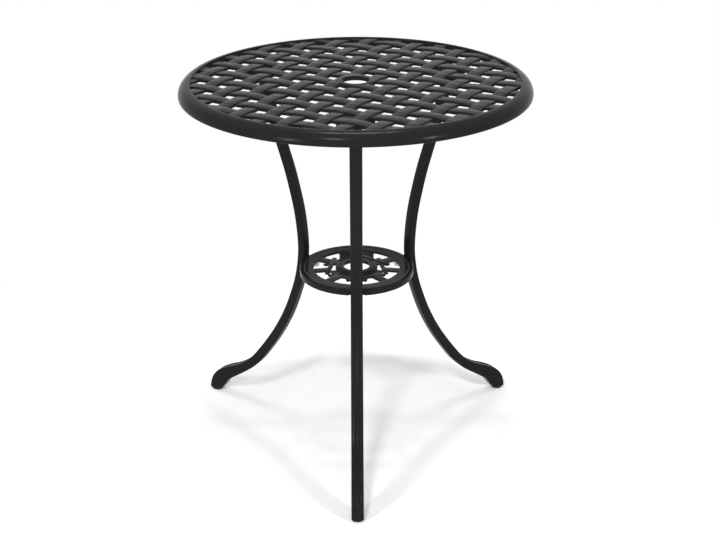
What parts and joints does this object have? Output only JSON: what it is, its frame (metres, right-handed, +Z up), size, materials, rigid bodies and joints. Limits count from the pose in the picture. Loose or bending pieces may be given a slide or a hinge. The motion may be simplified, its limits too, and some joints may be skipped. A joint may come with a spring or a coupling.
{
  "type": "umbrella table",
  "caption": "Round patio table with a woven cast-metal top, a central umbrella hole, S-curved tripod legs tied by a small pierced shelf, and screw-in levelling glides.",
  "frame": {"origin": "on the ground, under the middle of the table's outline; the table's own axis, through the umbrella hole, is 14 mm from it towards +Y, because one leg reaches out to -Y", "axes": "+Z up; -Y towards the front leg; +X to the right as seen from the front"},
  "size_m": [0.6, 0.628, 0.67],
  "materials": {
    "powder_coat": "near-black satin powder coat with a fine texture over cast aluminium",
    "zinc_steel": "bright zinc-plated steel",
    "brass_insert": "turned brass, unpolished",
    "pad_plastic": "matte black moulded nylon"
  },
  "bodies": {
    "root": {"tabletop": "powder_coat", "shelf": "powder_coat", "leg_front": "powder_coat", "leg_right": "powder_coat", "leg_left": "powder_coat", "top_washer_front_1": "zinc_steel", "top_washer_front_2": "zinc_steel", "top_washer_right_1": "zinc_steel", "top_washer_right_2": "zinc_steel", "top_washer_left_1": "zinc_steel", "top_washer_left_2": "zinc_steel", "top_lock_washer_front_1": "zinc_steel", "top_lock_washer_front_2": "zinc_steel", "top_lock_washer_right_1": "zinc_steel", "top_lock_washer_right_2": "zinc_steel", "top_lock_washer_left_1": "zinc_steel", "top_lock_washer_left_2": "zinc_steel", "top_bolt_front_1": "zinc_steel", "top_bolt_front_2": "zinc_steel", "top_bolt_right_1": "zinc_steel", "top_bolt_right_2": "zinc_steel", "top_bolt_left_1": "zinc_steel", "top_bolt_left_2": "zinc_steel", "shelf_washer_front": "zinc_steel", "shelf_washer_right": "zinc_steel", "shelf_washer_left": "zinc_steel", "shelf_screw_front": "zinc_steel", "shelf_screw_right": "zinc_steel", "shelf_screw_left": "zinc_steel", "foot_insert_front": "brass_insert", "foot_insert_right": "brass_insert", "foot_insert_left": "brass_insert"},
    "front_stud": {"glide_stud_front": "zinc_steel"},
    "right_stud": {"glide_stud_right": "zinc_steel"},
    "left_stud": {"glide_stud_left": "zinc_steel"},
    "front_pad": {"glide_pad_front": "pad_plastic"},
    "right_pad": {"glide_pad_right": "pad_plastic"},
    "left_pad": {"glide_pad_left": "pad_plastic"}
  },
  "joints": [
    {"name": "front_glide_travel", "type": "slide", "parent": "root", "child": "front_stud", "axis": [0, 0, -1], "range_m": [0, 0.008]},
    {"name": "front_glide_turn", "type": "hinge", "parent": "front_stud", "child": "front_pad", "pos_m": [0, -0.3017, 0], "axis": [0, 0, -1], "range_deg": [0, 2305]},
    {"name": "right_glide_travel", "type": "slide", "parent": "root", "child": "right_stud", "axis": [0, 0, -1], "range_m": [0, 0.008]},
    {"name": "right_glide_turn", "type": "hinge", "parent": "right_stud", "child": "right_pad", "pos_m": [0.2734, 0.17185, 0], "axis": [0, 0, -1], "range_deg": [0, 2305]},
    {"name": "left_glide_travel", "type": "slide", "parent": "root", "child": "left_stud", "axis": [0, 0, -1], "range_m": [0, 0.008]},
    {"name": "left_glide_turn", "type": "hinge", "parent": "left_stud", "child": "left_pad", "pos_m": [-0.2734, 0.17185, 0], "axis": [0, 0, -1], "range_deg": [0, 2305]}
  ],
  "couplings": [
    {"joint": "front_glide_turn", "follows": "front_glide_travel", "rad_per_m": 5026.5},
    {"joint": "right_glide_turn", "follows": "right_glide_travel", "rad_per_m": 5026.5},
    {"joint": "left_glide_turn", "follows": "left_glide_travel", "rad_per_m": 5026.5}
  ]
}
